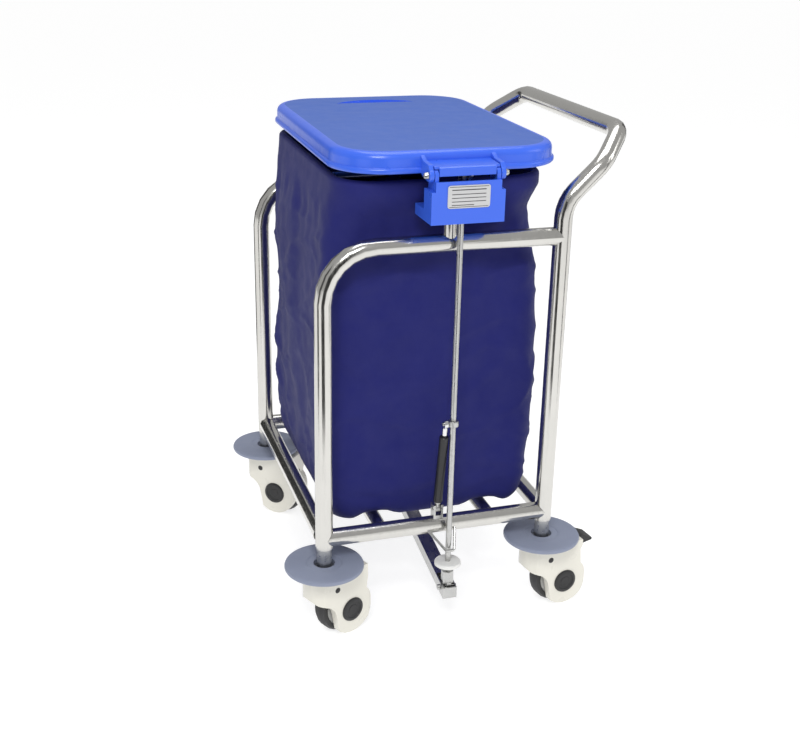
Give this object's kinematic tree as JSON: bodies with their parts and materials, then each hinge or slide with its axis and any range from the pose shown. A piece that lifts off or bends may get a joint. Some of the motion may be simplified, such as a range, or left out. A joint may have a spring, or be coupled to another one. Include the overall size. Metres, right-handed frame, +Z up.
{
  "type": "housekeeping cart",
  "caption": "Soiled-linen trolley: polished tube frame on swivel casters, cloth bag on a hoop and a moulded lid lifted by a foot pedal, with a push bar.",
  "frame": {"origin": "on the floor, under the middle of the overall box", "axes": "+Z up, +X towards the push bar end, -Y towards the side with the lift rod and the pedal linkage"},
  "size_m": [0.59, 0.626, 0.855],
  "materials": {
    "polished_steel": "polished stainless tube",
    "zinc": "bright zinc plate",
    "chrome": "polished rod",
    "black_paint": "satin black",
    "blue_plastic": "moulded, semi-gloss",
    "black_plastic": "fine texture",
    "white_plastic": "plain",
    "cream_plastic": "moulded",
    "grey_plastic": "moulded",
    "dark_rubber": "soft tread",
    "bumper_rubber": "grey-blue, matte",
    "navy_fabric": "plain weave",
    "label": "satin, ruled lines only"
  },
  "bodies": {
    "frame": {"bag": "navy_fabric", "bag_hoop": "polished_steel", "damper_bracket": "zinc", "far_bottom_rail": "polished_steel", "far_left_bumper": "bumper_rubber", "far_left_caster_stem": "zinc", "far_right_bumper": "bumper_rubber", "far_right_caster_stem": "zinc", "far_side_tube": "polished_steel", "handle_tube": "polished_steel", "hinge_housing": "blue_plastic", "hinge_pin": "zinc", "label_plate": "label", "left_bottom_rail": "polished_steel", "left_cross_bar": "polished_steel", "lever_bolt": "zinc", "lever_bracket": "zinc", "lid_post": "polished_steel", "near_bottom_rail": "polished_steel", "near_left_bumper": "bumper_rubber", "near_left_caster_stem": "zinc", "near_right_bumper": "bumper_rubber", "near_right_caster_stem": "zinc", "near_side_tube": "polished_steel", "pivot_bar": "polished_steel", "right_bottom_rail": "polished_steel", "right_cross_bar": "polished_steel", "rod_guide": "zinc"},
    "lid_body": {"lid": "blue_plastic", "lid_crank": "zinc"},
    "rod_body": {"push_rod": "zinc", "rod_foot": "zinc", "stop_disc": "white_plastic", "rod_collar": "zinc"},
    "pedal_body": {"pedal_lever": "zinc", "lever_pin": "zinc", "pedal_pad": "black_plastic"},
    "damper_body": {"damper_cylinder": "black_paint", "damper_foot_eye": "zinc"},
    "damper_rod_body": {"damper_piston": "chrome"},
    "near_left_fork": {"near_left_caster_hood": "cream_plastic", "near_left_axle": "black_plastic"},
    "near_left_roller": {"near_left_wheel": "grey_plastic", "near_left_tyre": "dark_rubber"},
    "near_right_fork": {"near_right_caster_hood": "cream_plastic", "near_right_axle": "black_plastic"},
    "near_right_roller": {"near_right_wheel": "grey_plastic", "near_right_tyre": "dark_rubber"},
    "far_left_fork": {"far_left_caster_hood": "cream_plastic", "far_left_axle": "black_plastic"},
    "far_left_roller": {"far_left_wheel": "grey_plastic", "far_left_tyre": "dark_rubber"},
    "far_right_fork": {"far_right_caster_hood": "cream_plastic", "far_right_axle": "black_plastic"},
    "far_right_roller": {"far_right_wheel": "grey_plastic", "far_right_tyre": "dark_rubber"},
    "near_right_brake": {"near_right_brake_pedal": "black_plastic"},
    "far_right_brake": {"far_right_brake_pedal": "black_plastic"}
  },
  "joints": [
    {"name": "lid_hinge", "type": "hinge", "parent": "frame", "child": "lid_body", "pos_m": [-0.017, -0.29, 0.8], "axis": [1, 0, 0], "range_deg": [0, 70]},
    {"name": "rod_lift", "type": "slide", "parent": "frame", "child": "rod_body", "axis": [0, 0, 1], "range_m": [0, 0.021]},
    {"name": "pedal_swing", "type": "hinge", "parent": "frame", "child": "pedal_body", "pos_m": [-0.017, 0, 0.124], "axis": [1, 0, 0], "range_deg": [-4.4, 0]},
    {"name": "damper_swing", "type": "hinge", "parent": "frame", "child": "damper_body", "pos_m": [-0.03, -0.246, 0.216], "axis": [1, 0, 0], "range_deg": [-1.1, 0]},
    {"name": "damper_stroke", "type": "slide", "parent": "damper_body", "child": "damper_rod_body", "axis": [0, -0.1615, 0.9869], "range_m": [0, 0.0208]},
    {"name": "near_left_swivel", "type": "hinge", "parent": "frame", "child": "near_left_fork", "pos_m": [-0.228, -0.246, 0.1267], "axis": [0, 0, 1], "continuous": true},
    {"name": "near_right_swivel", "type": "hinge", "parent": "frame", "child": "near_right_fork", "pos_m": [0.168, -0.246, 0.1267], "axis": [0, 0, 1], "continuous": true},
    {"name": "far_left_swivel", "type": "hinge", "parent": "frame", "child": "far_left_fork", "pos_m": [-0.228, 0.246, 0.1267], "axis": [0, 0, 1], "continuous": true},
    {"name": "far_right_swivel", "type": "hinge", "parent": "frame", "child": "far_right_fork", "pos_m": [0.168, 0.246, 0.1267], "axis": [0, 0, 1], "continuous": true},
    {"name": "near_left_roll", "type": "hinge", "parent": "near_left_fork", "child": "near_left_roller", "pos_m": [-0.19511, -0.23136, 0.05], "axis": [0.4067, -0.9135, 0], "continuous": true},
    {"name": "near_right_roll", "type": "hinge", "parent": "near_right_fork", "child": "near_right_roller", "pos_m": [0.20365, -0.24099, 0.05], "axis": [0.1392, -0.9903, 0], "continuous": true},
    {"name": "far_left_roll", "type": "hinge", "parent": "far_left_fork", "child": "far_left_roller", "pos_m": [-0.20125, 0.22191, 0.05], "axis": [-0.6691, -0.7431, 0], "continuous": true},
    {"name": "far_right_roll", "type": "hinge", "parent": "far_right_fork", "child": "far_right_roller", "pos_m": [0.20365, 0.24099, 0.05], "axis": [-0.1392, -0.9903, 0], "continuous": true},
    {"name": "near_right_brake_press", "type": "hinge", "parent": "near_right_fork", "child": "near_right_brake", "pos_m": [0.22593, -0.23786, 0.1145], "axis": [-0.1392, 0.9903, 0], "range_deg": [0, 10]},
    {"name": "far_right_brake_press", "type": "hinge", "parent": "far_right_fork", "child": "far_right_brake", "pos_m": [0.22593, 0.23786, 0.1145], "axis": [0.1392, 0.9903, 0], "range_deg": [0, 10]}
  ],
  "couplings": [
    {"joint": "rod_lift", "follows": "lid_hinge", "m_per_rad": 0.016901},
    {"joint": "pedal_swing", "follows": "lid_hinge", "ratio": -0.06191},
    {"joint": "damper_swing", "follows": "lid_hinge", "ratio": -0.014327},
    {"joint": "damper_stroke", "follows": "lid_hinge", "m_per_rad": 0.016703}
  ]
}
